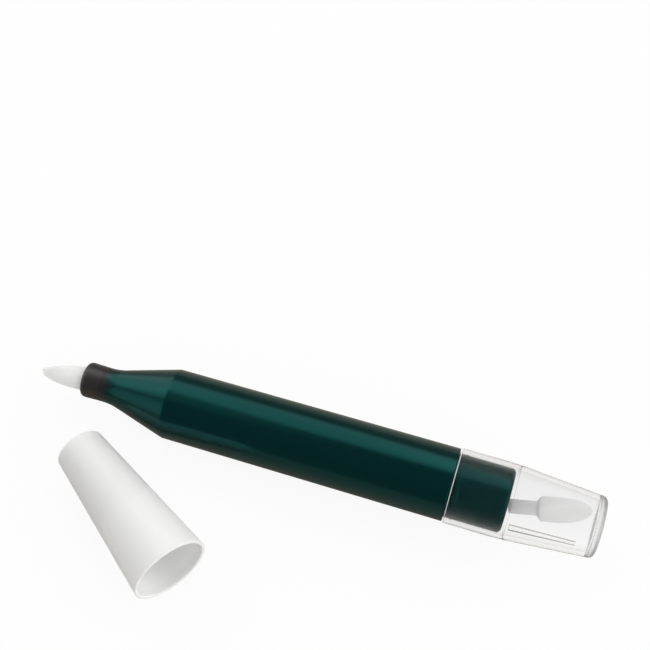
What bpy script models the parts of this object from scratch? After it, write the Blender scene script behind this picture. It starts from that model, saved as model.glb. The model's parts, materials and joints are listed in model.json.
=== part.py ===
"""Nail polish corrector pen lying on its side, its white cap taken off and laid in front of it.

Metres, +Z up. The pen runs along X with its nib towards -X, and the table is z = 0.
The origin is on the table, at the middle of the footprint.
Each turned piece is drawn as (x, radius) points about its own X axis and then set in place.
"""

import math

import bmesh
import bpy
from mathutils import Matrix, Vector

# Clearances
seat_gap = 0.0003           # between pieces that seat in or against each other
cap_slip = 0.00015          # the white cap's mouth round the barrel's shoulder

# Broken edges
rim_chamfer = 0.0002
inner_chamfer = 0.0004
most_round = 0.92           # share of a wall that its rounded edge may take

# Barrel: nose neck, shoulder cone, grip and the thinner spigot behind it
neck_length = 0.0028
cone_length = 0.0138
shoulder_radius = 0.0080
shoulder_round = 0.0003
body_length = 0.0651
body_rear_radius = 0.0082
spigot_length = 0.0128
spigot_chamfer = 0.0006
spigot_wall = 0.0009
bead_height = 0.00015
bead_width = 0.0008
bead_from_step = 0.0013
nose_wall = 0.0014

# Black nib holder
collar_length = 0.0040
collar_wall = 0.0008        # round the nib's head, at the neck's own radius
collar_flare = 0.00012      # how much wider the collar's front is than the neck
collar_round = 0.0010
stem_wall = 0.0011
stem_tail = 0.0060          # stem behind the nib's rear end, round the wick

# Felt nib
nib_length = 0.0179
nib_out = 0.0105            # how far it stands out of the collar
nib_head_in_collar = 0.0006
nib_neck_down = 0.0008
nib_head_radius = 0.00285
nib_shank_radius = 0.00165
nib_ogive_length = 0.0070
nib_slope = 0.25            # rise of the slanted face along the nib
nib_edge_blend = 0.00025    # softens the slanted face's edge
nib_tip_drop = 0.00037      # of the point, away from the slanted face
nib_roll = math.radians(-62.0)   # turns the slanted face up and back

# Ink store: wick, fibre rod, film sleeve and rear plug
wick_in_store = 0.0029      # how far the wick reaches into the fibre rod
film_thickness = 0.00025
store_behind_cone = 0.0039  # behind the point where the bore has its full width
plug_depth = 0.0012         # floor of the plug below the spigot's end
plug_floor = 0.0012
plug_wall = 0.0009

# Clear rear cap
rear_cap_radius = 0.0084
rear_cap_wall = 0.00075
rear_cap_taper_start = 0.0126
rear_cap_narrowing = 0.00162   # from the straight part to the closed end
rear_cap_round = 0.0013
rear_cap_floor = 0.0015
chamber_step = 0.00025      # how much narrower the nib chamber is than the bore
chamber_step_gap = 0.0011   # spigot's end to that step
rib_height = 0.0010
rib_thickness = 0.0006
rib_front_gap = 0.0006      # behind the step
rib_rear_gap = 0.0033       # ahead of the chamber's floor
rib_angle = math.radians(158.0)   # from +Y round +X, as all angles of the rear cap

# Spare nib, loose in the rear cap and leaning against its chamber
spare_end_gap = 0.0007      # shank's end to the spigot
spare_tip_gap = 0.0011      # tip to the chamber's floor
spare_wall_gap = 0.00055    # head to the chamber's wall, measured straight across
spare_lean = 0.00316        # how far the head is shifted sideways from the shank's end
spare_lean_angle = math.radians(65.0)
spare_head_angle = math.radians(316.0)
spare_roll = math.radians(55.0)   # turns the slanted face down and forward

# White cap
cap_rim_wall = 0.0007
cap_end_radius = 0.00555
cap_end_round = 0.0011
cap_wall = 0.00065
cap_floor = 0.0014
cap_land = 0.0017           # straight part inside the mouth
cap_ramp = 0.0015
cap_overlap = 0.0015        # how far the mouth passes the shoulder when the cap is on
cap_end_gap = 0.0009        # behind the sealing cup

# Sealing cup inside the white cap
cup_wall = 0.0007
cup_lip = 0.0010
cup_slip = 0.00025          # round the collar
cup_tip_gap = 0.0010        # ahead of the nib's tip
cup_point_gap = 0.0008      # round the nib's head

# Where the white cap lies, seen from the point of the table under the shoulder
cap_ahead_x = 0.01324
cap_ahead_y = -0.03654
cap_yaw = math.radians(-35.2)
swing_clear = 0.0560        # mouth to nib tip when the cap has been brought into line

# Facets
big_sides = 64
mid_sides = 48
small_sides = 32
round_steps = 4

# Angles in degrees past which an edge stays sharp to the eye
crisp = 12.0
moulded = 30.0
soft = 50.0

# The nib sets the inner sizes of the nose
socket_radius = nib_head_radius + seat_gap
neck_radius = socket_radius + collar_wall
collar_radius = neck_radius + collar_flare
nib_head_length = nib_out + nib_head_in_collar
stem_bore = nib_shank_radius + seat_gap
stem_radius = stem_bore + stem_wall
nose_bore = stem_radius + seat_gap
wick_radius = stem_bore - seat_gap

# The spigot fits the rear cap, and the ink store fits the barrel's bore
rear_cap_bore = rear_cap_radius - rear_cap_wall
chamber_radius = rear_cap_bore - chamber_step
rear_cap_end_radius = rear_cap_radius - rear_cap_narrowing
spigot_radius = rear_cap_bore - seat_gap - bead_height
bore_radius = spigot_radius - spigot_wall
film_radius = bore_radius - seat_gap
store_radius = film_radius - film_thickness - seat_gap
plug_radius = bore_radius - seat_gap
well_radius = plug_radius - plug_wall
nose_slope = (shoulder_radius - neck_radius) / cone_length

# Stations on the pen, measured back from the shoulder
neck_front = -(cone_length + neck_length)
collar_back = neck_front - seat_gap
collar_front = collar_back - collar_length
nib_tip = collar_front - nib_out
nib_rear = nib_tip + nib_length
spigot_end = body_length + spigot_length
plug_face = spigot_end - plug_depth
nose_inner_front = -cone_length + nose_wall
nose_inner_rear = nose_inner_front + (bore_radius - nose_bore) / nose_slope
store_front = nose_inner_rear + store_behind_cone
store_rear = plug_face - plug_floor - seat_gap
wick_front = nib_rear + seat_gap
wick_rear = store_front + wick_in_store
rim_x = body_length + seat_gap

# Stations in the rear cap, measured back from its mouth. The spare nib leans between its ends.
step_x = spigot_end + chamber_step_gap - rim_x
spare_body_length = nib_length - nib_ogive_length
spare_slope = spare_lean / spare_body_length
spare_flatness = math.sqrt(1.0 - spare_slope ** 2)
spare_end_x = spigot_end + spare_end_gap - rim_x
spare_head_x = spare_end_x + spare_body_length * spare_flatness
spare_tip_x = spare_end_x + nib_length * spare_flatness
floor_x = spare_tip_x + spare_tip_gap
rear_cap_length = floor_x + rear_cap_floor
rear_end = rim_x + rear_cap_length

# Depths in the white cap, measured in from its mouth
cup_depth = cone_length + cap_overlap + cup_lip
seal_depth = cup_depth + neck_length + seat_gap + collar_length
cup_end_depth = cap_overlap - nib_tip + cup_tip_gap
cap_length = cup_end_depth + cup_wall + cap_end_gap + cap_floor
cap_bore = shoulder_radius + cap_slip
cap_mouth_radius = cap_bore + cap_rim_wall
cap_half_angle = math.atan((cap_mouth_radius - cap_end_radius) / cap_length)

# The pen lies on its shoulder and on the wider of the barrel's rear end and the rear cap
pen_tilt = math.atan((max(rear_cap_radius, body_rear_radius) - shoulder_radius) / rim_x)


def clear_scene():
    for item in list(bpy.data.objects):
        bpy.data.objects.remove(item, do_unlink=True)


def plastic(name, colour, roughness, clear=0.0):
    material = bpy.data.materials.new(name)
    material.use_nodes = True
    shader = material.node_tree.nodes["Principled BSDF"]
    shader.inputs["Base Color"].default_value = (*colour, 1.0)
    shader.inputs["Roughness"].default_value = roughness
    shader.inputs["Metallic"].default_value = 0.0
    shader.inputs["Transmission Weight"].default_value = clear
    return material


def arc(x, radius, size, start, end):
    """Points of a rounded corner about (x, radius), from one angle in degrees to another."""
    points = []
    for step in range(round_steps + 1):
        angle = math.radians(start + (end - start) * step / round_steps)
        points.append((x + size * math.cos(angle), radius + size * math.sin(angle)))
    return points


def empty(name, matrix, parent=None):
    holder = bpy.data.objects.new(name, None)
    bpy.context.scene.collection.objects.link(holder)
    holder.parent = parent
    holder.matrix_local = matrix
    return holder


def add_object(name, mesh, material, parent, matrix, sharp=moulded):
    data = bpy.data.meshes.new(name)
    mesh.to_mesh(data)
    mesh.free()
    data.materials.append(material)
    data.shade_smooth()
    data.set_sharp_from_angle(angle=math.radians(sharp))
    item = bpy.data.objects.new(name, data)
    bpy.context.scene.collection.objects.link(item)
    item.parent = parent
    item.matrix_local = matrix
    return item


def turned(outline, sides):
    """A body turned about X. An outline that starts off the axis is a ring and closes on itself."""
    mesh = bmesh.new()
    points = [mesh.verts.new((x, 0.0, radius)) for x, radius in outline]
    edges = [mesh.edges.new(pair) for pair in zip(points, points[1:])]
    if outline[0][1] > 0.0:
        edges.append(mesh.edges.new((points[-1], points[0])))
    bmesh.ops.spin(mesh, geom=points + edges, cent=(0.0, 0.0, 0.0), axis=(1.0, 0.0, 0.0),
                   angle=math.tau, steps=sides, use_merge=True)
    bmesh.ops.remove_doubles(mesh, verts=mesh.verts, dist=1e-7)
    bmesh.ops.recalc_face_normals(mesh, faces=mesh.faces)
    return mesh


def along(x):
    return Matrix.Translation((x, 0.0, 0.0))


def make_barrel(material, pen):
    bead_front = body_length + bead_from_step
    outline = [
        (neck_front, nose_bore),
        (neck_front, neck_radius - rim_chamfer),
        (neck_front + rim_chamfer, neck_radius),
        (-cone_length, neck_radius),
        (-shoulder_round, shoulder_radius - shoulder_round * nose_slope),
        (shoulder_round, shoulder_radius),
        (body_length, body_rear_radius),
        (body_length, spigot_radius),
        (bead_front, spigot_radius),
        (bead_front + bead_width / 2, spigot_radius + bead_height),
        (bead_front + bead_width, spigot_radius),
        (spigot_end - spigot_chamfer, spigot_radius),
        (spigot_end, spigot_radius - spigot_chamfer),
        (spigot_end, bore_radius),
        (nose_inner_rear, bore_radius),
        (nose_inner_front, nose_bore),
    ]
    return add_object("barrel", turned(outline, big_sides), material, pen, along(0.0), crisp)


def make_nib_holder(material, pen):
    """Collar in front of the neck, and a stem through it that holds the nib and the wick."""
    socket_rear = nib_tip + nib_head_length + nib_neck_down + seat_gap
    stem_rear = nib_rear + stem_tail
    edge = min(collar_round, most_round * (collar_radius - socket_radius))
    outline = [(collar_front, socket_radius)]
    outline += arc(collar_front + edge, collar_radius - edge, edge, 180, 90)
    outline += [
        (collar_back, neck_radius),
        (collar_back, stem_radius),
        (stem_rear, stem_radius),
        (stem_rear, stem_bore),
        (socket_rear, stem_bore),
        (socket_rear - nib_neck_down, socket_radius),
    ]
    return add_object("nib_holder", turned(outline, mid_sides), material, pen, along(0.0))


def nib_mesh():
    """Felt nib with its tip at x = 0: a rounded head pressed flat on a slant, and a thinner shank."""
    outline = []
    nose_steps = 2 * round_steps
    for step in range(nose_steps + 1):
        angle = math.pi / 2 * (1.0 - step / nose_steps)
        x = nib_ogive_length * (1.0 - math.sin(angle))
        outline.append((x, nib_head_radius * math.cos(angle)))
    outline += [
        (nib_head_length, nib_head_radius),
        (nib_head_length + nib_neck_down, nib_shank_radius),
        (nib_length, nib_shank_radius),
        (nib_length, 0.0),
    ]
    mesh = turned(outline, small_sides)
    for vertex in mesh.verts:
        over = (vertex.co.z - nib_slope * vertex.co.x) / nib_edge_blend
        before_ogive = max(0.0, 1.0 - vertex.co.x / nib_ogive_length)
        vertex.co.z -= nib_edge_blend * math.log1p(math.exp(over))
        vertex.co.z -= nib_tip_drop * before_ogive ** 2
    return mesh


def make_nib(material, pen):
    place = along(nib_tip) @ Matrix.Rotation(nib_roll, 4, "X")
    return add_object("nib", nib_mesh(), material, pen, place, soft)


def make_wick(material, pen):
    outline = [
        (wick_front, 0.0),
        (wick_front, wick_radius),
        (wick_rear, wick_radius),
        (wick_rear, 0.0),
    ]
    return add_object("feed_wick", turned(outline, small_sides), material, pen, along(0.0))


def make_reservoir(material, pen):
    """Fibre rod with a blind hole in its front for the wick."""
    hole_radius = wick_radius + seat_gap
    hole_end = wick_rear + seat_gap
    outline = [
        (hole_end, 0.0),
        (hole_end, hole_radius),
        (store_front, hole_radius),
        (store_front, store_radius),
        (store_rear, store_radius),
        (store_rear, 0.0),
    ]
    return add_object("reservoir", turned(outline, mid_sides), material, pen, along(0.0))


def make_film(material, pen):
    outline = [
        (store_front, film_radius - film_thickness),
        (store_front, film_radius),
        (store_rear, film_radius),
        (store_rear, film_radius - film_thickness),
    ]
    return add_object("reservoir_film", turned(outline, mid_sides), material, pen, along(0.0))


def make_plug(material, pen):
    """Shallow cup pressed into the spigot behind the fibre rod, open to the rear."""
    outline = [
        (plug_face - plug_floor, 0.0),
        (plug_face - plug_floor, plug_radius - rim_chamfer),
        (plug_face - plug_floor + rim_chamfer, plug_radius),
        (spigot_end - rim_chamfer, plug_radius),
        (spigot_end - rim_chamfer, well_radius),
        (plug_face, well_radius),
        (plug_face, 0.0),
    ]
    return add_object("rear_plug", turned(outline, mid_sides), material, pen, along(0.0))


def chamber_wall(x):
    """Inner radius of the nib chamber at a distance from the rear cap's mouth."""
    share = (x - rear_cap_taper_start) / (rear_cap_length - rear_cap_taper_start)
    narrowing = (rear_cap_radius - rear_cap_end_radius) * share
    return chamber_radius - narrowing


def make_rib(rear_cap):
    """Long rib on the chamber's wall that stops the spare nib rolling round, joined to the clear cap."""
    front = step_x + rib_front_gap
    rear = floor_x - rib_rear_gap
    into_wall = rear_cap_wall / 2
    corners = [
        (front, chamber_wall(front) - rib_height),
        (rear, chamber_wall(rear) - rib_height),
        (rear, chamber_wall(rear) + into_wall),
        (front, chamber_wall(front) + into_wall),
    ]
    mesh = bmesh.new()
    points = [mesh.verts.new((x, -rib_thickness / 2, radius)) for x, radius in corners]
    face = mesh.faces.new(points)
    grown = bmesh.ops.extrude_face_region(mesh, geom=[face])["geom"]
    moved = [item for item in grown if isinstance(item, bmesh.types.BMVert)]
    bmesh.ops.translate(mesh, verts=moved, vec=(0.0, rib_thickness, 0.0))
    bmesh.ops.rotate(mesh, verts=points + moved, cent=(0.0, 0.0, 0.0),
                     matrix=Matrix.Rotation(rib_angle - math.pi / 2, 3, "X"))
    bmesh.ops.recalc_face_normals(mesh, faces=mesh.faces)
    material = rear_cap.data.materials[0]
    rib = add_object("rear_cap_rib", mesh, material, rear_cap, Matrix())
    rib.hide_render = True
    rib.display_type = "WIRE"
    joined = rear_cap.modifiers.new("rib", "BOOLEAN")
    joined.operation = "UNION"
    joined.solver = "EXACT"
    joined.object = rib


def make_rear_cap(material, pen):
    """Clear cap over the spigot, with its origin at the middle of its mouth."""
    outline = [(rear_cap_length, 0.0)]
    outline += arc(rear_cap_length - rear_cap_round, rear_cap_end_radius - rear_cap_round,
                   rear_cap_round, 0, 90)
    outline += [
        (rear_cap_taper_start, rear_cap_radius),
        (rim_chamfer, rear_cap_radius),
        (0.0, rear_cap_radius - rim_chamfer),
        (0.0, rear_cap_bore),
        (step_x, rear_cap_bore),
        (step_x, chamber_wall(step_x)),
        (floor_x - inner_chamfer, chamber_wall(floor_x)),
        (floor_x, chamber_wall(floor_x) - inner_chamfer),
        (floor_x, 0.0),
    ]
    item = add_object("rear_cap", turned(outline, big_sides), material, pen, along(rim_x), crisp)
    make_rib(item)
    return item


def make_spare(material, rear_cap):
    """Spare nib with its point towards the closed end. Its head lies on the chamber's wall."""
    off_axis = chamber_wall(spare_head_x) - spare_wall_gap - nib_head_radius
    across = Vector((0.0, math.cos(spare_head_angle), math.sin(spare_head_angle)))
    head = Vector((spare_head_x, 0.0, 0.0)) + off_axis * across
    sideways = Vector((0.0, math.cos(spare_lean_angle), math.sin(spare_lean_angle)))
    forward = Vector((spare_flatness, 0.0, 0.0)) + spare_slope * sideways
    tip = head + nib_ogive_length * forward
    aim = Vector((1.0, 0.0, 0.0)).rotation_difference(forward).to_matrix().to_4x4()
    roll = Matrix.Rotation(spare_roll, 4, "X")
    place = Matrix.Translation(tip) @ aim @ roll @ Matrix.Rotation(math.pi, 4, "Z")
    add_object("spare_nib_1", nib_mesh(), material, rear_cap, place, soft)


def cap_inner(depth):
    """Inner radius of the white cap at a depth behind its mouth, beyond the ramp."""
    return cap_mouth_radius - depth * math.tan(cap_half_angle) - cap_wall


def make_cap_shell(material, cap):
    """White cone cap. Its mouth is at x = 0 and its small end towards -X."""
    ramp_end = cap_land + cap_ramp
    inner_end = cap_length - cap_floor
    round_top = cap_end_radius + cap_end_round * math.tan(cap_half_angle)
    outline = [(-cap_length, 0.0)]
    outline += arc(-cap_length + cap_end_round, round_top - cap_end_round, cap_end_round, 180, 90)
    outline += [
        (-rim_chamfer, cap_mouth_radius),
        (0.0, cap_mouth_radius - rim_chamfer),
        (0.0, cap_bore),
        (-cap_land, cap_bore),
        (-ramp_end, cap_inner(ramp_end)),
        (-inner_end, cap_inner(inner_end)),
        (-inner_end, 0.0),
    ]
    return add_object("cap_shell", turned(outline, big_sides), material, cap, Matrix())


def make_cap_cup(material, cap):
    """Sealing cup pressed into the white cap, which closes round the collar and over the nib."""
    seal_radius = collar_radius + cup_slip
    tube_radius = seal_radius + cup_wall
    point_radius = nib_head_radius + cup_point_gap
    flange_depth = cup_depth + cup_lip
    flange_radius = cap_inner(flange_depth) - seat_gap
    outline = [
        (-cup_end_depth - cup_wall, 0.0),
        (-cup_end_depth - cup_wall, point_radius),
        (-cup_end_depth, point_radius + cup_wall),
        (-seal_depth - cup_lip, tube_radius),
        (-flange_depth, tube_radius),
        (-flange_depth, flange_radius),
        (-cup_depth, flange_radius),
        (-cup_depth, seal_radius + inner_chamfer),
        (-cup_depth - inner_chamfer, seal_radius),
        (-seal_depth, seal_radius),
        (-seal_depth - cup_lip, point_radius),
        (-cup_end_depth, point_radius),
        (-cup_end_depth, 0.0),
    ]
    return add_object("cap_cup", turned(outline, mid_sides), material, cap, Matrix())


def footprint_middle():
    """Middle of the pen and cap on the table, measured from under the shoulder."""
    left = nib_tip * math.cos(pen_tilt)
    right = rear_end * math.cos(pen_tilt)
    front = cap_ahead_y - cap_mouth_radius * math.sqrt(1.0 - cap_direction().y ** 2)
    return Vector(((left + right) / 2, (front + rear_cap_radius) / 2, 0.0))


def cap_direction():
    flat = math.cos(cap_half_angle)
    return Vector((flat * math.cos(cap_yaw), flat * math.sin(cap_yaw), math.sin(cap_half_angle)))


def swing_pivot():
    """Upright line about which the cap turns flat on the table from where it lies into line."""
    start = Vector((cap_ahead_x, cap_ahead_y, 0.0))
    finish = Vector((nib_tip - swing_clear, 0.0, 0.0))
    move = finish - start
    side = Vector((-move.y, move.x, 0.0))
    return (start + finish) / 2 + side / (2.0 * math.tan(-cap_yaw / 2))


def build():
    clear_scene()
    green = plastic("green_plastic", (0.004, 0.036, 0.034), 0.22)
    black = plastic("black_plastic", (0.022, 0.020, 0.021), 0.45)
    felt = plastic("white_felt", (0.74, 0.74, 0.73), 0.95)
    fibre = plastic("store_fibre", (0.70, 0.70, 0.66), 1.0)
    film = plastic("film_plastic", (0.80, 0.82, 0.82), 0.30)
    white = plastic("white_plastic", (0.80, 0.80, 0.80), 0.38)
    seal = plastic("seal_plastic", (0.72, 0.73, 0.73), 0.50)
    clear = plastic("clear_plastic", (0.96, 0.97, 0.97), 0.03, clear=1.0)

    middle = footprint_middle()
    height = shoulder_radius * math.cos(pen_tilt)
    lean = Matrix.Rotation(-pen_tilt, 4, "Y")
    pen = empty("pen_axis", Matrix.Translation(Vector((0.0, 0.0, height)) - middle) @ lean)
    make_barrel(green, pen)
    make_nib_holder(black, pen)
    make_nib(felt, pen)
    make_wick(fibre, pen)
    make_reservoir(fibre, pen)
    make_film(film, pen)
    make_plug(green, pen)
    rear_cap = make_rear_cap(clear, pen)
    make_spare(felt, rear_cap)

    pivot = swing_pivot()
    swing = empty("cap_swing_axis", Matrix.Translation(pivot - middle))
    mouth_height = cap_mouth_radius * math.cos(cap_half_angle) + rim_chamfer * math.sin(cap_half_angle)
    mouth = Vector((cap_ahead_x, cap_ahead_y, mouth_height))
    turn = Matrix.Rotation(cap_yaw, 4, "Z") @ Matrix.Rotation(-cap_half_angle, 4, "Y")
    cap = empty("cap_place", Matrix.Translation(mouth - pivot) @ turn, swing)
    make_cap_shell(white, cap)
    make_cap_cup(seal, cap)


build()
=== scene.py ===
"""Looks of the nail polish corrector pen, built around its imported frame.

Metres, +Z up, in the frame's own coordinates. The pen lies along X with its nib towards -X, and its
white cap lies in front of it. Each new piece is drawn about its own X axis and then set in place.
"""

import json
import math

import bmesh
import bpy
from mathutils import Matrix, Vector, noise


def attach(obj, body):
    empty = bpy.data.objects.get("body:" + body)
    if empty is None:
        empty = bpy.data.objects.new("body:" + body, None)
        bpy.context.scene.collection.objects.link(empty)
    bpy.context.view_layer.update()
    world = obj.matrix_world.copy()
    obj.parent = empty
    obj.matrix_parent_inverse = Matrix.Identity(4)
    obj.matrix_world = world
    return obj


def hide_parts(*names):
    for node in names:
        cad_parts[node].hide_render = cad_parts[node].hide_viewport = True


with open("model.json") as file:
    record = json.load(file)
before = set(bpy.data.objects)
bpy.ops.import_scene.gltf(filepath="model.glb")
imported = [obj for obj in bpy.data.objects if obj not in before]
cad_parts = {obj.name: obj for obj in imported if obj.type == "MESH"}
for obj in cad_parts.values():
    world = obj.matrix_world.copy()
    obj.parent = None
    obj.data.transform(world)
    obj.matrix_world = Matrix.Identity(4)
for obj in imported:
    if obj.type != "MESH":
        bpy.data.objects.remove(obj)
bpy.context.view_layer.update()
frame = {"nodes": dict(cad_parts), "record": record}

# Camera
# It looks down on the pen from in front and a little from its right, through a longish lens, so that
# the pen's sides stay nearly parallel. The place was fitted to the photograph.
mm = 0.001
look_at = Vector((-7.77 * mm, 51.04 * mm, 0.0))
camera_distance = 317.26 * mm
camera_turn = math.radians(17.12)
camera_height = math.radians(62.77)
camera_roll = math.radians(0.315)
film_width = 36.0
focal_length = 73.4

camera_side = Vector((
    math.sin(camera_turn) * math.cos(camera_height),
    -math.cos(camera_turn) * math.cos(camera_height),
    math.sin(camera_height),
))
lens = bpy.data.cameras.new("camera")
lens.sensor_width = film_width
lens.lens = focal_length
camera = bpy.data.objects.new("camera", lens)
camera.location = look_at + camera_side * camera_distance
upright = (-camera_side).to_track_quat("-Z", "Y").to_matrix()
camera.rotation_euler = (upright @ Matrix.Rotation(camera_roll, 3, "Z")).to_euler()
scene = bpy.context.scene
scene.collection.objects.link(camera)
scene.camera = camera
scene.view_settings.view_transform = "Standard"

# Studio light
# A dome with one large soft light behind the pen, broad ones to its left and right, and a dim side where
# the camera stands, so that glossy plastic shows one long band of light. The background is plain white,
# also through the clear plastic.
dome_level = 0.25
dome_colour = (1.0, 0.995, 0.985, 1.0)
plain_white = (1.0, 1.0, 1.0, 1.0)
mirrored_once = 1.0
mirrored_often = 3.0
white_once = 0.10
white_often = 0.80
# a ray's counts are whole numbers, so these limits lie halfway between two of them
any_mirroring = 0.5
one_clear_wall = 2.5
dome_lights = [
    # where each stands, half angle of its full part, half angle of its soft edge, radiance
    (Vector((-0.05, 0.63, 0.78)), 13.0, 32.0, 1.22),
    (Vector((-0.80, 0.42, 0.43)), 18.0, 42.0, 1.40),
    (Vector((-0.78, -0.49, 0.35)), 9.0, 28.0, 0.82),
    (Vector((-0.50, 0.15, 0.85)), 8.0, 32.0, 0.38),
    (Vector((0.70, 0.46, 0.55)), 20.0, 46.0, 1.45),
    (Vector((0.84, -0.44, 0.32)), 16.0, 42.0, 1.65),
]


def add_node(tree, kind, *sources, **settings):
    """A node whose first inputs are joined to sockets or set to plain values."""
    node = tree.nodes.new(kind)
    for name, value in settings.items():
        setattr(node, name, value)
    for place, source in enumerate(sources):
        if isinstance(source, bpy.types.NodeSocket):
            tree.links.new(source, node.inputs[place])
        else:
            node.inputs[place].default_value = source
    return node


def maths(tree, operation, *sources):
    """The result of one Math node on sockets or plain values."""
    return add_node(tree, "ShaderNodeMath", *sources, operation=operation).outputs[0]


world = bpy.data.worlds.new("studio")
world.use_nodes = True
scene.world = world
sky = world.node_tree
sky.nodes.clear()
toward = add_node(sky, "ShaderNodeTexCoord").outputs["Generated"]
level = add_node(sky, "ShaderNodeValue").outputs[0]
level.default_value = dome_level
for direction, full, edge, radiance in dome_lights:
    near = add_node(sky, "ShaderNodeVectorMath", toward, direction.normalized(), operation="DOT_PRODUCT")
    patch = add_node(
        sky, "ShaderNodeMapRange", near.outputs["Value"],
        math.cos(math.radians(edge)), math.cos(math.radians(full)), 0.0, radiance,
        interpolation_type="SMOOTHSTEP",
    )
    level = maths(sky, "ADD", level, patch.outputs["Result"])


def shown_white(tree, ray):
    """Share of plain white that a ray sees.

    It is 1 from the camera, also through clear walls or along inside one. It is small once the clear
    plastic has mirrored the ray, grows as the ray is mirrored again, and is 0 for every other ray.
    """
    mirrorings = ray.outputs["Glossy Depth"]
    straight = maths(tree, "LESS_THAN", mirrorings, any_mirroring)
    one_wall = maths(tree, "LESS_THAN", ray.outputs["Transmission Depth"], one_clear_wall)
    stray = add_node(tree, "ShaderNodeMapRange", mirrorings, mirrored_once, mirrored_often, white_once,
                     white_often)
    share = maths(tree, "MAXIMUM", maths(tree, "MAXIMUM", straight, one_wall), stray.outputs["Result"])
    through = maths(tree, "MULTIPLY", ray.outputs["Is Transmission Ray"], share)
    return maths(tree, "MAXIMUM", ray.outputs["Is Camera Ray"], through)


ray = add_node(sky, "ShaderNodeLightPath")
lit = add_node(sky, "ShaderNodeBackground", dome_colour, level)
plain = add_node(sky, "ShaderNodeBackground", plain_white, 1.0)
shown = add_node(sky, "ShaderNodeMixShader", shown_white(sky, ray), lit.outputs[0], plain.outputs[0])
add_node(sky, "ShaderNodeOutputWorld", shown.outputs[0])

# Table
# A matt white sheet. The camera and the clear plastic see it nearly as white as the background, with
# the soft shadow of the pen still on it, and glossy plastic mirrors it as a warm grey.
table_size = 3.0
table_white = (0.84, 0.84, 0.84)
table_in_gloss = (0.46, 0.42, 0.37)
table_glow = 0.92


def blended(tree, share, first, second, kind="MIX"):
    """The colour between two others, each a socket or three plain values."""
    node = add_node(tree, "ShaderNodeMix", share, data_type="RGBA", blend_type=kind)
    for label, colour in (("A", first), ("B", second)):
        if isinstance(colour, bpy.types.NodeSocket):
            tree.links.new(colour, node.inputs[label])
        else:
            node.inputs[label].default_value = (*colour, 1.0)
    return node.outputs["Result"]


table_mesh = bmesh.new()
bmesh.ops.create_grid(table_mesh, x_segments=1, y_segments=1, size=table_size / 2)
table_data = bpy.data.meshes.new("table")
table_mesh.to_mesh(table_data)
table_mesh.free()
table = bpy.data.objects.new("table", table_data)
scene.collection.objects.link(table)
paper = bpy.data.materials.new("table_paper")
paper.use_nodes = True
tree = paper.node_tree
tree.nodes.clear()
ray = add_node(tree, "ShaderNodeLightPath")
mirrored = maths(tree, "GREATER_THAN", ray.outputs["Glossy Depth"], any_mirroring)
matt = add_node(tree, "ShaderNodeBsdfDiffuse", blended(tree, mirrored, table_white, table_in_gloss))
glow = add_node(tree, "ShaderNodeEmission", plain_white, 1.0)
share = maths(tree, "MULTIPLY", shown_white(tree, ray), table_glow)
mixed = add_node(tree, "ShaderNodeMixShader", share, matt.outputs[0], glow.outputs[0])
add_node(tree, "ShaderNodeOutputMaterial", mixed.outputs[0])
table_data.materials.append(paper)

# Barrel
# One injection moulding in dark teal-green plastic with a polished skin: a nose neck, a cone that ends
# in a crisp shoulder, a long grip that widens a little to the rear, and a thinner spigot for the cap.
neck_length = 2.8 * mm
cone_length = 13.8 * mm
shoulder_radius = 8.0 * mm
grip_length = 65.1 * mm
grip_rear_radius = 8.2 * mm
spigot_length = 12.8 * mm
neck_radius = 3.95 * mm
neck_round = 1.6 * mm
shoulder_round = 0.35 * mm
grip_end_round = 0.15 * mm
nose_bore = 3.35 * mm
bore_radius = 6.3 * mm
spigot_radius = 7.2 * mm
spigot_chamfer = 0.6 * mm
spigot_chamfer_round = 0.15 * mm
spigot_end_round = 0.1 * mm
bead_height = 0.15 * mm
bead_width = 0.8 * mm
bead_round = 0.15 * mm
bead_foot_round = 0.1 * mm
bead_from_step = 1.3 * mm
nose_wall = 1.4 * mm
nose_fade = 3.4 * mm
nose_colour = (0.0150, 0.0125, 0.0125)
nose_shine = (0.72, 0.70, 0.70)
nose_roughness = 0.31
green_shine = (0.14, 0.98, 0.93)
grip_gloss = 0.50
spigot_gloss = 0.32
wave_scale = 140.0
cloud_scale = 420.0
cloud_low = 0.3
cloud_high = 0.7
seat_gap = 0.3 * mm
rear_cap_length = 32.93127 * mm

spigot_end = grip_length + spigot_length
rear_cap_mouth = grip_length + seat_gap
pen_end = rear_cap_mouth + rear_cap_length
neck_front = -cone_length - neck_length
nose_slope = (shoulder_radius - neck_radius) / cone_length
nose_inner_front = nose_wall - cone_length
nose_inner_rear = nose_inner_front + (bore_radius - nose_bore) / nose_slope


def laid_along(mount, distance, sense):
    """Place of a piece whose X axis runs along a mount's axis, with its origin a distance inside it."""
    found = next(m for m in frame["record"]["mounts"] if m["name"] == mount)
    direction = Vector(found["axis"]) * sense
    origin = Vector(found["pos_m"]) - direction * distance
    return Matrix.Translation(origin) @ direction.to_track_quat("X", "Z").to_matrix().to_4x4()


pen_place = laid_along("rear_end", pen_end, 1.0)


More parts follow.
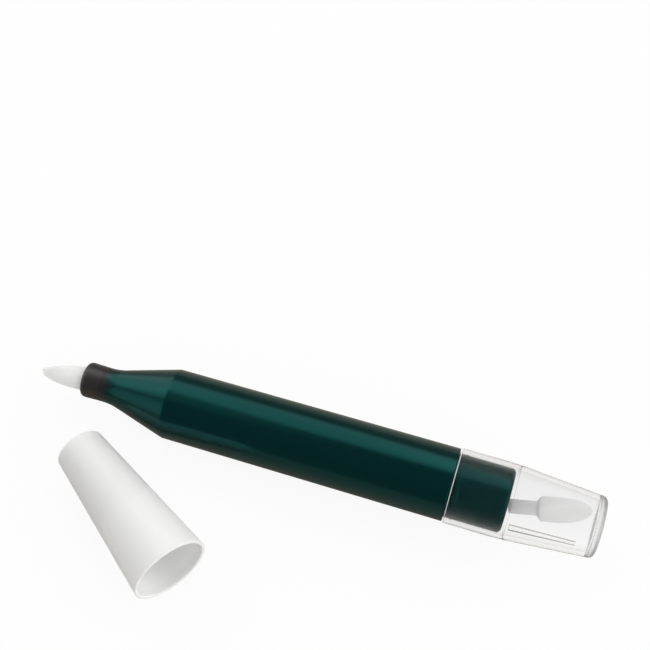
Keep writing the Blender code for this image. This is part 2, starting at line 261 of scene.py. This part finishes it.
def turned(corners, turns=192, round_steps=5):
    """A body turned about X from its corners, each a distance along X, a radius and a rounding.

    The outline starts and ends on the axis, or else it is closed into a ring.
    """
    mesh = bmesh.new()
    points = [mesh.verts.new((x, 0.0, radius)) for x, radius, rounding in corners]
    ends = list(zip(points, points[1:]))
    if corners[0][1] > 0.0:
        ends.append((points[-1], points[0]))
    for pair in ends:
        mesh.edges.new(pair)
    for point, (x, radius, rounding) in zip(points, corners):
        if rounding:
            bmesh.ops.bevel(mesh, geom=[point], offset=rounding, offset_type="OFFSET",
                            segments=round_steps, profile=0.5, affect="VERTICES", material=-1)
    bmesh.ops.spin(mesh, geom=mesh.verts[:] + mesh.edges[:], cent=(0.0, 0.0, 0.0),
                   axis=(1.0, 0.0, 0.0), angle=math.tau, steps=turns, use_merge=True)
    bmesh.ops.remove_doubles(mesh, verts=mesh.verts, dist=1e-7)
    bmesh.ops.recalc_face_normals(mesh, faces=mesh.faces)
    return mesh


def finished(name, mesh, place, material, body, node, sharp=30.0):
    """Sets the mesh in place and makes it the piece that stands for its node."""
    mesh.transform(place)
    data = bpy.data.meshes.new(name)
    mesh.to_mesh(data)
    mesh.free()
    data.materials.append(material)
    data.shade_smooth()
    data.set_sharp_from_angle(angle=math.radians(sharp))
    piece = bpy.data.objects.new(name, data)
    scene.collection.objects.link(piece)
    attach(piece, body)
    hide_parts(node)


def moulded_skin():
    """Shared effect of moulded plastic: faint waves, a fine orange peel, and a polish that varies.

    The heights are in metres, so the bump's own distance is 1.
    """
    group = bpy.data.node_groups.new("moulded_skin", "ShaderNodeTree")
    new_socket = group.interface.new_socket
    for label in ("Peel size", "Peel height", "Wave height", "Polished", "Dull"):
        new_socket(label, in_out="INPUT", socket_type="NodeSocketFloat")
    new_socket("Roughness", in_out="OUTPUT", socket_type="NodeSocketFloat")
    new_socket("Normal", in_out="OUTPUT", socket_type="NodeSocketVector")
    new_socket("Cloud", in_out="OUTPUT", socket_type="NodeSocketFloat")
    given = add_node(group, "NodeGroupInput").outputs
    where = add_node(group, "ShaderNodeTexCoord").outputs["Object"]
    peel = add_node(group, "ShaderNodeTexNoise", where)
    group.links.new(maths(group, "DIVIDE", 1.0, given["Peel size"]), peel.inputs["Scale"])
    peel.inputs["Detail"].default_value = 2.0
    wave = add_node(group, "ShaderNodeTexNoise", where)
    wave.inputs["Scale"].default_value = wave_scale
    wave.inputs["Detail"].default_value = 1.0
    cloud = add_node(group, "ShaderNodeTexNoise", where)
    cloud.inputs["Scale"].default_value = cloud_scale
    cloud.inputs["Detail"].default_value = 4.0
    cloud.inputs["Roughness"].default_value = 0.6
    waves = maths(group, "MULTIPLY", wave.outputs["Fac"], given["Wave height"])
    bump = add_node(group, "ShaderNodeBump")
    bump.inputs["Distance"].default_value = 1.0
    height = maths(group, "MULTIPLY_ADD", peel.outputs["Fac"], given["Peel height"], waves)
    group.links.new(height, bump.inputs["Height"])
    polish = add_node(group, "ShaderNodeMapRange", cloud.outputs["Fac"], cloud_low, cloud_high,
                      given["Polished"], given["Dull"])
    add_node(group, "NodeGroupOutput", polish.outputs["Result"], bump.outputs["Normal"],
             cloud.outputs["Fac"])
    return group


skin = moulded_skin()


def skinned(material, polished, dull, peel_size, peel_height, wave_height):
    """Gives a material the moulded skin, and returns the skin's node.

    The first two values are the roughness where the skin is most polished and where it is dullest.
    """
    material.use_nodes = True
    tree = material.node_tree
    effect = add_node(tree, "ShaderNodeGroup", node_tree=skin)
    effect.inputs["Polished"].default_value = polished
    effect.inputs["Dull"].default_value = dull
    effect.inputs["Peel size"].default_value = peel_size
    effect.inputs["Peel height"].default_value = peel_height
    effect.inputs["Wave height"].default_value = wave_height
    shader = tree.nodes["Principled BSDF"]
    tree.links.new(effect.outputs["Roughness"], shader.inputs["Roughness"])
    tree.links.new(effect.outputs["Normal"], shader.inputs["Normal"])
    return effect


def plastic(name, colour, other_colour, **finish):
    """Plastic with the moulded skin, whose colour drifts between two near ones."""
    material = bpy.data.materials.new(name)
    effect = skinned(material, **finish)
    tree = material.node_tree
    drift = blended(tree, effect.outputs["Cloud"], colour, other_colour)
    tree.links.new(drift, tree.nodes["Principled BSDF"].inputs["Base Color"])
    return material


def from_shoulder(tree):
    """How far a point lies behind the shoulder, along the pen's axis."""
    where = add_node(tree, "ShaderNodeTexCoord").outputs["Object"]
    offset = add_node(tree, "ShaderNodeVectorMath", where, pen_place.translation, operation="SUBTRACT")
    axis = pen_place.to_3x3() @ Vector((1.0, 0.0, 0.0))
    return add_node(tree, "ShaderNodeVectorMath", offset.outputs["Vector"], axis,
                    operation="DOT_PRODUCT").outputs["Value"]


# the nose fades to a dark satin towards the nib holder, and the spigot is less glossy than the grip
green_plastic = plastic("green_plastic", (0.0001, 0.0074, 0.0070), (0.0002, 0.0090, 0.0085),
                        polished=0.14, dull=0.22, peel_size=0.9 * mm, peel_height=0.0012 * mm,
                        wave_height=0.010 * mm)
tree = green_plastic.node_tree
shader = tree.nodes["Principled BSDF"]
station = from_shoulder(tree)
darkened = add_node(tree, "ShaderNodeMapRange", station, neck_front, neck_front + nose_fade, 1.0, 0.0,
                    interpolation_type="SMOOTHSTEP").outputs["Result"]
green = shader.inputs["Base Color"].links[0].from_socket
tree.links.new(blended(tree, darkened, green, nose_colour), shader.inputs["Base Color"])
tree.links.new(blended(tree, darkened, green_shine, nose_shine), shader.inputs["Specular Tint"])
satin = add_node(tree, "ShaderNodeMix", darkened)
tree.links.new(shader.inputs["Roughness"].links[0].from_socket, satin.inputs["A"])
satin.inputs["B"].default_value = nose_roughness
tree.links.new(satin.outputs["Result"], shader.inputs["Roughness"])
gloss = add_node(tree, "ShaderNodeMapRange", station, grip_length, grip_length + seat_gap, grip_gloss,
                 spigot_gloss)
tree.links.new(gloss.outputs["Result"], shader.inputs["Specular IOR Level"])

bead_front = grip_length + bead_from_step
barrel_corners = [
    (neck_front, nose_bore, 0.0),
    (neck_front, neck_radius, 0.0),
    (-cone_length, neck_radius, neck_round),
    (0.0, shoulder_radius, shoulder_round),
    (grip_length, grip_rear_radius, grip_end_round),
    (grip_length, spigot_radius, 0.0),
    (bead_front, spigot_radius, bead_foot_round),
    (bead_front + bead_width / 2, spigot_radius + bead_height, bead_round),
    (bead_front + bead_width, spigot_radius, bead_foot_round),
    (spigot_end - spigot_chamfer, spigot_radius, spigot_chamfer_round),
    (spigot_end, spigot_radius - spigot_chamfer, spigot_end_round),
    (spigot_end, bore_radius, 0.0),
    (nose_inner_rear, bore_radius, 0.0),
    (nose_inner_front, nose_bore, 0.0),
]
finished("barrel_moulding", turned(barrel_corners), pen_place, green_plastic, "pen", "barrel",
         sharp=35.0)

# Nib holder
# A satin black moulding pressed into the nose: a short collar with a rounded front edge, and behind it
# a stem that grips the felt nib and the feed wick inside the barrel.
collar_length = 4.0 * mm
collar_radius = 4.07 * mm
collar_round = 1.1 * mm
collar_seam = 0.02 * mm
socket_radius = 3.15 * mm
socket_depth = 1.7 * mm
socket_slope = 0.8 * mm
socket_round = 0.08 * mm
stem_radius = 3.05 * mm
stem_bore = 1.95 * mm
stem_length = 13.4 * mm
stem_round = 0.2 * mm

collar_back = neck_front - seat_gap
collar_front = collar_back - collar_length
holder_corners = [
    (collar_front, socket_radius, socket_round),
    (collar_front, collar_radius, collar_round),
    (neck_front - collar_seam, neck_radius, 0.0),
    (neck_front - collar_seam, stem_radius, 0.0),
    (collar_front + stem_length, stem_radius, stem_round),
    (collar_front + stem_length, stem_bore, 0.0),
    (collar_front + socket_depth + socket_slope, stem_bore, 0.0),
    (collar_front + socket_depth, socket_radius, 0.0),
]
black_plastic = plastic("black_plastic", (0.012, 0.010, 0.010), (0.016, 0.013, 0.013),
                        polished=0.26, dull=0.36, peel_size=0.25 * mm, peel_height=0.003 * mm,
                        wave_height=0.004 * mm)
finished("nib_collar", turned(holder_corners, round_steps=8), pen_place, black_plastic, "pen",
         "nib_holder")

# Felt nibs
# Dense pressed polyester felt, cut to a rounded bullet with a thinner shank and pressed flat on a
# slant, which drops the point and leaves it a little blunt. One nib is pushed into the holder. Its
# slant and the flank below it are darkened with painted shade.
nib_length = 17.9 * mm
nib_out = 10.5 * mm
nib_head_radius = 2.85 * mm
nib_shank_radius = 1.65 * mm
nib_head_length = 11.1 * mm
nib_neck_down = 0.8 * mm
nib_ogive_length = 7.0 * mm
nib_slope = 0.25
nib_blunt = 0.35 * mm
nib_edge = 0.25 * mm
nib_tip_drop = 0.60 * mm
nib_neck_round = 0.3 * mm
nib_end_round = 0.12 * mm
nib_roll = math.radians(-62.0)
nib_nose_steps = 28
nib_straight_steps = 10
# how far the painted shade on the slant spreads down the flank
slant_shade_width = 3.0
slant_shade_spread = 1.0
felt_fuzz = 0.018 * mm
lump_scale = 2400.0
lump_sink = 0.3
seed_step = 7.0
felt_colour = (0.79, 0.79, 0.785)
felt_light_colour = (0.88, 0.88, 0.875)
# painted shade that darkens the slant of the nibs
slant_shade_tint = (0.66, 0.66, 0.665)
felt_strand_scale = (2200.0, 9000.0, 9000.0)
felt_pore_scale = 1500.0
felt_relief = 0.03 * mm
felt_light_depth = 5.0 * mm
even_depth = (1.0, 1.0, 1.0)

felt = bpy.data.materials.new("white_felt")
felt.use_nodes = True
tree = felt.node_tree
shader = tree.nodes["Principled BSDF"]
where = add_node(tree, "ShaderNodeTexCoord").outputs["Object"]
strands = add_node(tree, "ShaderNodeMapping", where)
strands.inputs["Scale"].default_value = felt_strand_scale
fibre = add_node(tree, "ShaderNodeTexNoise", strands.outputs[0])
fibre.inputs["Scale"].default_value = 1.0
fibre.inputs["Detail"].default_value = 3.0
fibre.inputs["Distortion"].default_value = 1.5
pores = add_node(tree, "ShaderNodeTexNoise", where)
pores.inputs["Scale"].default_value = felt_pore_scale
pores.inputs["Detail"].default_value = 4.0
tint = blended(tree, fibre.outputs["Fac"], felt_colour, felt_light_colour)
# painted shade on the nib's slant, from the mesh's attribute
slant_shade = add_node(tree, "ShaderNodeAttribute", attribute_name="slant_shade").outputs["Fac"]
slant_shaded = blended(tree, slant_shade, tint, slant_shade_tint, kind="MULTIPLY")
tree.links.new(slant_shaded, shader.inputs["Base Color"])
bump = add_node(tree, "ShaderNodeBump")
bump.inputs["Distance"].default_value = felt_relief
tree.links.new(maths(tree, "ADD", fibre.outputs["Fac"], pores.outputs["Fac"]), bump.inputs["Height"])
tree.links.new(bump.outputs["Normal"], shader.inputs["Normal"])
shader.inputs["Roughness"].default_value = 0.95
shader.inputs["Specular IOR Level"].default_value = 0.2
shader.inputs["Sheen Weight"].default_value = 0.15
shader.inputs["Subsurface Weight"].default_value = 1.0
shader.inputs["Subsurface Radius"].default_value = even_depth
shader.inputs["Subsurface Scale"].default_value = felt_light_depth


def felt_nib(seed, shade_share):
    """A nib with its tip at x = 0 and its slant above, uneven all over as felt is.

    The attribute "slant_shade" is painted shade on the slant, fading down the flank, up to the given
    share.
    """
    corners = []
    for step in range(nib_nose_steps + 1):
        angle = math.pi / 2 * (1.0 - step / nib_nose_steps)
        x = nib_ogive_length * (1.0 - math.sin(angle))
        corners.append((x, nib_head_radius * math.cos(angle), 0.0))
    for step in range(1, nib_straight_steps):
        x = nib_ogive_length + (nib_head_length - nib_ogive_length) * step / nib_straight_steps
        corners.append((x, nib_head_radius, 0.0))
    corners += [
        (nib_head_length, nib_head_radius, nib_neck_round),
        (nib_head_length + nib_neck_down, nib_shank_radius, nib_neck_round),
        (nib_length, nib_shank_radius, nib_end_round),
        (nib_length, 0.0, 0.0),
    ]
    mesh = turned(corners, turns=112, round_steps=4)
    # painted shade on the slant, fading down the flank below it
    slant_shade_part = mesh.verts.layers.float.new("slant_shade")
    for vertex in mesh.verts:
        over = (vertex.co.z - nib_slope * vertex.co.x - nib_blunt) / nib_edge
        towards_tip = max(0.0, 1.0 - vertex.co.x / nib_ogive_length)
        vertex[slant_shade_part] = shade_share / (1.0 + math.exp(-over / slant_shade_width - slant_shade_spread))
        vertex.co.z -= nib_edge * math.log1p(math.exp(over))
        vertex.co.z -= nib_tip_drop * towards_tip ** 2
    mesh.normal_update()
    shift = Vector((seed * seed_step, 0.0, 0.0))
    for vertex in mesh.verts:
        lump = noise.noise(vertex.co * lump_scale + shift) - lump_sink
        vertex.co += vertex.normal * felt_fuzz * lump
    return mesh


nib_turn = Matrix.Rotation(nib_roll, 4, "X")
nib_place = pen_place @ Matrix.Translation((collar_front - nib_out, 0.0, 0.0)) @ nib_turn
finished("felt_nib", felt_nib(seed=0, shade_share=1.0), nib_place, felt, "nib", "nib",
         sharp=60.0)

# Remover store
# Unseen inside the barrel: a fibre wick behind the nib and a fibre rod that stores the remover, in a
# thin film sleeve. They keep the frame's own meshes, with the fibres running along the pen.
store_strand_scale = (120.0, 6000.0, 6000.0)
store_relief = 0.04 * mm

store_fibre = bpy.data.materials.new("store_fibre")
store_fibre.use_nodes = True
tree = store_fibre.node_tree
shader = tree.nodes["Principled BSDF"]
where = add_node(tree, "ShaderNodeTexCoord").outputs["Object"]
drawn = add_node(tree, "ShaderNodeMapping", where)
drawn.inputs["Scale"].default_value = store_strand_scale
strand = add_node(tree, "ShaderNodeTexNoise", drawn.outputs[0])
strand.inputs["Scale"].default_value = 1.0
strand.inputs["Detail"].default_value = 3.0
tint = blended(tree, strand.outputs["Fac"], (0.58, 0.58, 0.54), (0.78, 0.78, 0.74))
tree.links.new(tint, shader.inputs["Base Color"])
bump = add_node(tree, "ShaderNodeBump")
bump.inputs["Distance"].default_value = store_relief
tree.links.new(strand.outputs["Fac"], bump.inputs["Height"])
tree.links.new(bump.outputs["Normal"], shader.inputs["Normal"])
shader.inputs["Roughness"].default_value = 1.0
film_plastic = plastic("film_plastic", (0.78, 0.80, 0.80), (0.84, 0.86, 0.86), polished=0.22,
                       dull=0.38, peel_size=0.8 * mm, peel_height=0.003 * mm, wave_height=0.02 * mm)


def refinish(node, material):
    """Gives a carried-over node its material."""
    data = frame["nodes"][node].data
    data.materials.clear()
    data.materials.append(material)


refinish("feed_wick", store_fibre)
refinish("reservoir", store_fibre)
refinish("reservoir_film", film_plastic)

# Rear plug
# A shallow cup moulded in the barrel's own green plastic. It is pressed into the spigot behind the
# fibre rod and keeps the remover in.
plug_radius = 6.0 * mm
plug_floor = 1.2 * mm
plug_depth = 1.2 * mm
plug_set_back = 0.2 * mm
plug_round = 0.25 * mm
plug_rim_round = 0.08 * mm
well_radius = 5.1 * mm
well_round = 0.2 * mm

plug_face = spigot_end - plug_depth
plug_corners = [
    (plug_face - plug_floor, 0.0, 0.0),
    (plug_face - plug_floor, plug_radius, plug_round),
    (spigot_end - plug_set_back, plug_radius, plug_rim_round),
    (spigot_end - plug_set_back, well_radius, plug_rim_round),
    (plug_face, well_radius, well_round),
    (plug_face, 0.0, 0.0),
]
finished("plug_moulding", turned(plug_corners), pen_place, green_plastic, "pen", "rear_plug")

# Clear rear cap
# Clear styrene, moulded in one piece and pushed over the spigot: a straight mouth whose rim is frosted,
# a slow taper to a flat closed end whose edge is dull, an inner step behind the spigot, and one long rib
# on the wall that gets lower to the rear.
rear_cap_radius = 8.4 * mm
rear_cap_bore = 7.65 * mm
rear_cap_end_radius = 6.78 * mm
rear_cap_taper_start = 12.6 * mm
rear_cap_taper_round = 3.0 * mm
rear_cap_round = 1.3 * mm
rear_cap_floor = 1.5 * mm
chamber_radius = 7.4 * mm
chamber_step_gap = 0.7 * mm
chamber_step_foot = 0.04 * mm
chamber_step_edge = 0.03 * mm
chamber_corner = 0.7 * mm
rim_frost = 0.16 * mm
rim_outer_round = 0.06 * mm
rim_inner_round = 0.04 * mm
rib_height = 1.0 * mm
rib_rear_height = 0.5 * mm
rib_front_gap = 0.6 * mm
rib_rear_gap = 3.3 * mm
rib_angle = math.radians(158.0)
rib_steps = 3
rib_reach = 0.1 * mm
cap_turns = 192
end_dull_start = 2.2 * mm
end_dull_full = 1.4 * mm
end_roughness = 0.3
clear_tint = (0.975, 0.975, 0.975)
# painted shade for the back half of the cap
back_shade_tint = (0.925, 0.925, 0.925)
back_shade_start = 3.0 * mm
back_shade_full = 2.0 * mm
face_glare = (0.08, 0.08, 0.08, 1.0)
shadow_tint = (0.94, 0.95, 0.95, 1.0)

step_x = spigot_end + chamber_step_gap - rear_cap_mouth
floor_x = rear_cap_length - rear_cap_floor
rib_front = step_x + rib_front_gap
rib_rear = floor_x - rib_rear_gap


def chamber_wall(x):
    """Inner radius of the nib chamber at a distance from the cap's mouth."""
    share = (x - rear_cap_taper_start) / (rear_cap_length - rear_cap_taper_start)
    return chamber_radius - (rear_cap_radius - rear_cap_end_radius) * share


rear_cap_corners = [
    (rear_cap_length, 0.0, 0.0),
    (rear_cap_length, rear_cap_end_radius, rear_cap_round),
    (rear_cap_taper_start, rear_cap_radius, rear_cap_taper_round),
    (rim_frost, rear_cap_radius, 0.0),
    (rim_frost, rear_cap_bore, 0.0),
    (step_x, rear_cap_bore, chamber_step_foot),
    (step_x, chamber_wall(step_x), chamber_step_edge),
    (rib_front, chamber_wall(rib_front), 0.0),
    (rib_rear, chamber_wall(rib_rear), 0.0),
    (floor_x, chamber_wall(floor_x), chamber_corner),
    (floor_x, 0.0, 0.0),
]
clear_mesh = turned(rear_cap_corners, turns=cap_turns, round_steps=6)
rib_side = Vector((0.0, math.cos(rib_angle), math.sin(rib_angle)))
strip = []
for face in clear_mesh.faces:
    centre = face.calc_center_median()
    outward = Vector((0.0, centre.y, centre.z))
    on_wall = rib_front < centre.x < rib_rear and outward.length < chamber_wall(centre.x) + rib_reach
    if on_wall and outward.angle(rib_side) < rib_steps * math.pi / cap_turns:
        strip.append(face)
grown = bmesh.ops.extrude_face_region(clear_mesh, geom=strip)["geom"]
raised = [item for item in grown if isinstance(item, bmesh.types.BMVert)]
for vertex in raised:
    share = (vertex.co.x - rib_front) / (rib_rear - rib_front)
    vertex.co -= rib_side * (rib_height + (rib_rear_height - rib_height) * share)

# greyer towards the back as painted shade, with little glare straight on and a light shadow
clear_plastic = bpy.data.materials.new("clear_plastic")
effect = skinned(clear_plastic, polished=0.005, dull=0.04, peel_size=2.5 * mm, peel_height=0.002 * mm,
                 wave_height=0.012 * mm)
tree = clear_plastic.node_tree
shader = tree.nodes["Principled BSDF"]
end_dull = add_node(tree, "ShaderNodeMapRange", from_shoulder(tree), pen_end - end_dull_start,
                    pen_end - end_dull_full, 0.0, end_roughness)
dulled = maths(tree, "MAXIMUM", effect.outputs["Roughness"], end_dull.outputs["Result"])
tree.links.new(dulled, shader.inputs["Roughness"])
across = add_node(tree, "ShaderNodeSeparateXYZ", add_node(tree, "ShaderNodeTexCoord").outputs["Object"])
pen_middle = pen_place.translation.y
# painted shade: the back half of the cap is tinted greyer
back_shade = add_node(tree, "ShaderNodeMapRange", across.outputs["Y"], pen_middle - back_shade_start,
                 pen_middle + back_shade_full, 0.0, 1.0, interpolation_type="SMOOTHSTEP")
tinted = blended(tree, back_shade.outputs["Result"], clear_tint, back_shade_tint)
tree.links.new(tinted, shader.inputs["Base Color"])
shader.inputs["Transmission Weight"].default_value = 1.0
shader.inputs["IOR"].default_value = 1.50
shader.inputs["Specular Tint"].default_value = face_glare
ray = add_node(tree, "ShaderNodeLightPath")
passed = add_node(tree, "ShaderNodeBsdfTransparent", shadow_tint)
lets_through = add_node(tree, "ShaderNodeMixShader", ray.outputs["Is Shadow Ray"], shader.outputs[0],
                        passed.outputs[0])
tree.links.new(lets_through.outputs[0], tree.nodes["Material Output"].inputs["Surface"])
clear_place = pen_place @ Matrix.Translation((rear_cap_mouth, 0.0, 0.0))
finished("clear_cap_moulding", clear_mesh, clear_place, clear_plastic, "rear_cap", "rear_cap")

rim_corners = [
    (0.0, rear_cap_radius, rim_outer_round),
    (0.0, rear_cap_bore, rim_inner_round),
    (rim_frost, rear_cap_bore, 0.0),
    (rim_frost, rear_cap_radius, 0.0),
]
frosted_plastic = plastic("frosted_plastic", (0.72, 0.73, 0.73), (0.78, 0.79, 0.79), polished=0.35,
                          dull=0.55, peel_size=0.3 * mm, peel_height=0.004 * mm, wave_height=0.0)
finished("clear_cap_rim", turned(rim_corners), clear_place, frosted_plastic, "rear_cap", "rear_cap")

# Spare nib
# A second felt nib, with faint painted shade on its slant, that lies loose in the clear cap with its
# point to the closed end.
# Its head leans on the chamber's wall and its shank ends behind the spigot, so it lies a little askew.
spare_end_gap = 0.7 * mm
spare_wall_gap = 0.55 * mm
spare_lean = 3.16 * mm
spare_lean_angle = math.radians(65.0)
spare_head_angle = math.radians(316.0)
spare_roll = math.radians(55.0)

spare_body_length = nib_length - nib_ogive_length
spare_slope = spare_lean / spare_body_length
spare_flatness = math.sqrt(1.0 - spare_slope ** 2)
spare_head_x = spigot_end + spare_end_gap - rear_cap_mouth + spare_body_length * spare_flatness
off_axis = chamber_wall(spare_head_x) - spare_wall_gap - nib_head_radius
head_side = Vector((0.0, math.cos(spare_head_angle), math.sin(spare_head_angle)))
head = Vector((spare_head_x, 0.0, 0.0)) + off_axis * head_side
sideways = Vector((0.0, math.cos(spare_lean_angle), math.sin(spare_lean_angle)))
forward = Vector((spare_flatness, 0.0, 0.0)) + spare_slope * sideways
aim = Vector((1.0, 0.0, 0.0)).rotation_difference(forward).to_matrix().to_4x4()
spare_place = clear_place @ Matrix.Translation(head + nib_ogive_length * forward) @ aim
spare_place = spare_place @ Matrix.Rotation(spare_roll, 4, "X") @ Matrix.Rotation(math.pi, 4, "Z")
finished("spare_felt_nib", felt_nib(seed=1, shade_share=0.2), spare_place, felt, "spare_nib_1",
         "spare_nib_1", sharp=60.0)

# White cap
# A hollow cone in semi-gloss white plastic that closes the nib end: a thin lip at the mouth, a short
# straight land that grips the shoulder, a ramp to the thin wall, and a small closed end. Its inside is
# painted lighter than its outside, as painted light that stands for light through the thin wall.
white_cap_length = 36.9 * mm
white_cap_mouth_radius = 8.85 * mm
white_cap_bore = 8.15 * mm
white_cap_end_radius = 5.55 * mm
white_cap_round = 0.7 * mm
white_cap_wall = 0.65 * mm
white_cap_floor = 1.4 * mm
white_cap_land = 1.7 * mm
white_cap_ramp = 1.5 * mm
lip_outer_round = 0.18 * mm
lip_inner_round = 0.15 * mm
land_round = 0.2 * mm
ramp_round = 0.3 * mm
white_cap_floor_round = 0.6 * mm
white_light_depth = 1.5 * mm
inside_painted_light = (0.95, 0.95, 0.95)
inside_from = 0.8 * white_cap_floor
inside_depth = 0.5 * white_cap_wall

white_cap_taper = (white_cap_mouth_radius - white_cap_end_radius) / white_cap_length
white_place = laid_along("white_cap_end", 0.0, -1.0)


def cone_inside(x):
    """Inner radius of the white cap at a distance from its small end."""
    return white_cap_end_radius + white_cap_taper * x - white_cap_wall


ramp_x = white_cap_length - white_cap_land - white_cap_ramp
white_cap_corners = [
    (0.0, 0.0, 0.0),
    (0.0, white_cap_end_radius, white_cap_round),
    (white_cap_length, white_cap_mouth_radius, lip_outer_round),
    (white_cap_length, white_cap_bore, lip_inner_round),
    (white_cap_length - white_cap_land, white_cap_bore, land_round),
    (ramp_x, cone_inside(ramp_x), ramp_round),
    (white_cap_floor, cone_inside(white_cap_floor), white_cap_floor_round),
    (white_cap_floor, 0.0, 0.0),
]
white_plastic = plastic("white_plastic", (0.75, 0.75, 0.755), (0.77, 0.77, 0.775), polished=0.30,
                        dull=0.40, peel_size=0.35 * mm, peel_height=0.0025 * mm, wave_height=0.015 * mm)
tree = white_plastic.node_tree
shader = tree.nodes["Principled BSDF"]
# painted light: the inside faces get a lighter white than the outside
inside = add_node(tree, "ShaderNodeAttribute", attribute_name="inside").outputs["Fac"]
outer_white = shader.inputs["Base Color"].links[0].from_socket
tree.links.new(blended(tree, inside, outer_white, inside_painted_light), shader.inputs["Base Color"])
shader.inputs["Subsurface Weight"].default_value = 0.5
shader.inputs["Subsurface Radius"].default_value = even_depth
shader.inputs["Subsurface Scale"].default_value = white_light_depth
white_mesh = turned(white_cap_corners, turns=224, round_steps=8)
# marks the inside faces that get the painted light
inside_part = white_mesh.verts.layers.float.new("inside")
for vertex in white_mesh.verts:
    outer_radius = white_cap_end_radius + white_cap_taper * vertex.co.x
    depth = outer_radius - math.hypot(vertex.co.y, vertex.co.z)
    vertex[inside_part] = float(vertex.co.x > inside_from and depth > inside_depth)
finished("white_cap_moulding", white_mesh, white_place, white_plastic, "white_cap", "cap_shell")

# Sealing cup
# A softer natural white moulding pressed into the white cap. It closes round the nib holder and the
# nose, and over the nib, so that the nib doesn't dry out.
cup_depth = 16.3 * mm
seal_depth = 23.4 * mm
cup_end_depth = 33.9 * mm
cup_wall = 0.7 * mm
cup_lip = 1.0 * mm
cup_seal_radius = 4.32 * mm
cup_point_radius = 3.65 * mm
cup_end_round = 0.8 * mm
cup_step_round = 0.3 * mm
cup_corner_round = 0.2 * mm
flange_round = 0.15 * mm
cup_mouth_round = 0.4 * mm

cup_tube_radius = cup_seal_radius + cup_wall
cup_lip_x = white_cap_length - cup_depth - cup_lip
flange_radius = cone_inside(cup_lip_x) - seat_gap
cup_corners = [
    (white_cap_length - cup_end_depth - cup_wall, 0.0, 0.0),
    (white_cap_length - cup_end_depth - cup_wall, cup_point_radius + cup_wall, cup_end_round),
    (white_cap_length - seal_depth - cup_lip, cup_tube_radius, cup_step_round),
    (cup_lip_x, cup_tube_radius, cup_corner_round),
    (cup_lip_x, flange_radius, flange_round),
    (white_cap_length - cup_depth, flange_radius, flange_round),
    (white_cap_length - cup_depth, cup_seal_radius, cup_mouth_round),
    (white_cap_length - seal_depth, cup_seal_radius, cup_corner_round),
    (white_cap_length - seal_depth - cup_lip, cup_point_radius, cup_corner_round),
    (white_cap_length - cup_end_depth, cup_point_radius, cup_step_round),
    (white_cap_length - cup_end_depth, 0.0, 0.0),
]
seal_plastic = plastic("seal_plastic", (0.70, 0.71, 0.71), (0.75, 0.76, 0.76), polished=0.42,
                       dull=0.55, peel_size=0.5 * mm, peel_height=0.003 * mm, wave_height=0.01 * mm)
finished("sealing_cup_moulding", turned(cup_corners, turns=128), white_place, seal_plastic, "white_cap",
         "cap_cup")
